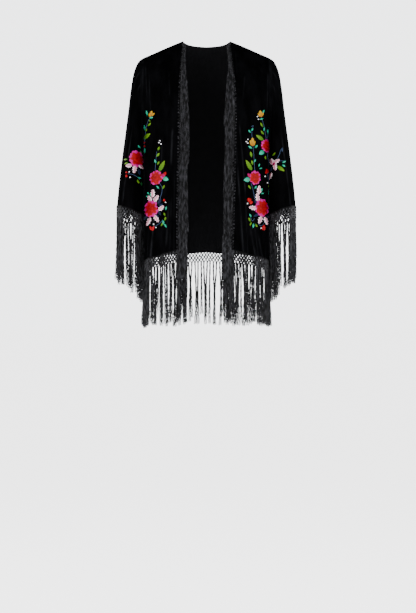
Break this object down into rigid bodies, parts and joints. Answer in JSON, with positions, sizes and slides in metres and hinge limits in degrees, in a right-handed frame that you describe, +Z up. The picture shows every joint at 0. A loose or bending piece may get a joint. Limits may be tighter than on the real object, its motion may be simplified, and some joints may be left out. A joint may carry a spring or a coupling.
{
  "type": "open velvet jacket with fringe",
  "caption": "Open-fronted long-sleeved velvet jacket, hollow as worn, with knotted fringe at cuffs, hem and front edges and embroidered flowers.",
  "frame": {"origin": "midway between the neck points, at the height where the shoulders carry the jacket", "axes": "+Z up, the open front faces -Y, +X is the wearer's left"},
  "size_m": [0.4917, 0.2715, 0.7847],
  "materials": {
    "velvet": "cotton-backed silk velvet with a soft short pile",
    "fringe_silk": "crimped twisted rayon thread"
  },
  "bodies": {
    "root": {"back": "velvet", "front_left": "velvet", "front_right": "velvet", "sleeve_left": "velvet", "sleeve_right": "velvet", "fringe_hem": "fringe_silk", "fringe_cuff_left": "fringe_silk", "fringe_cuff_right": "fringe_silk", "fringe_front_left": "fringe_silk", "fringe_front_right": "fringe_silk"}
  },
  "joints": []
}
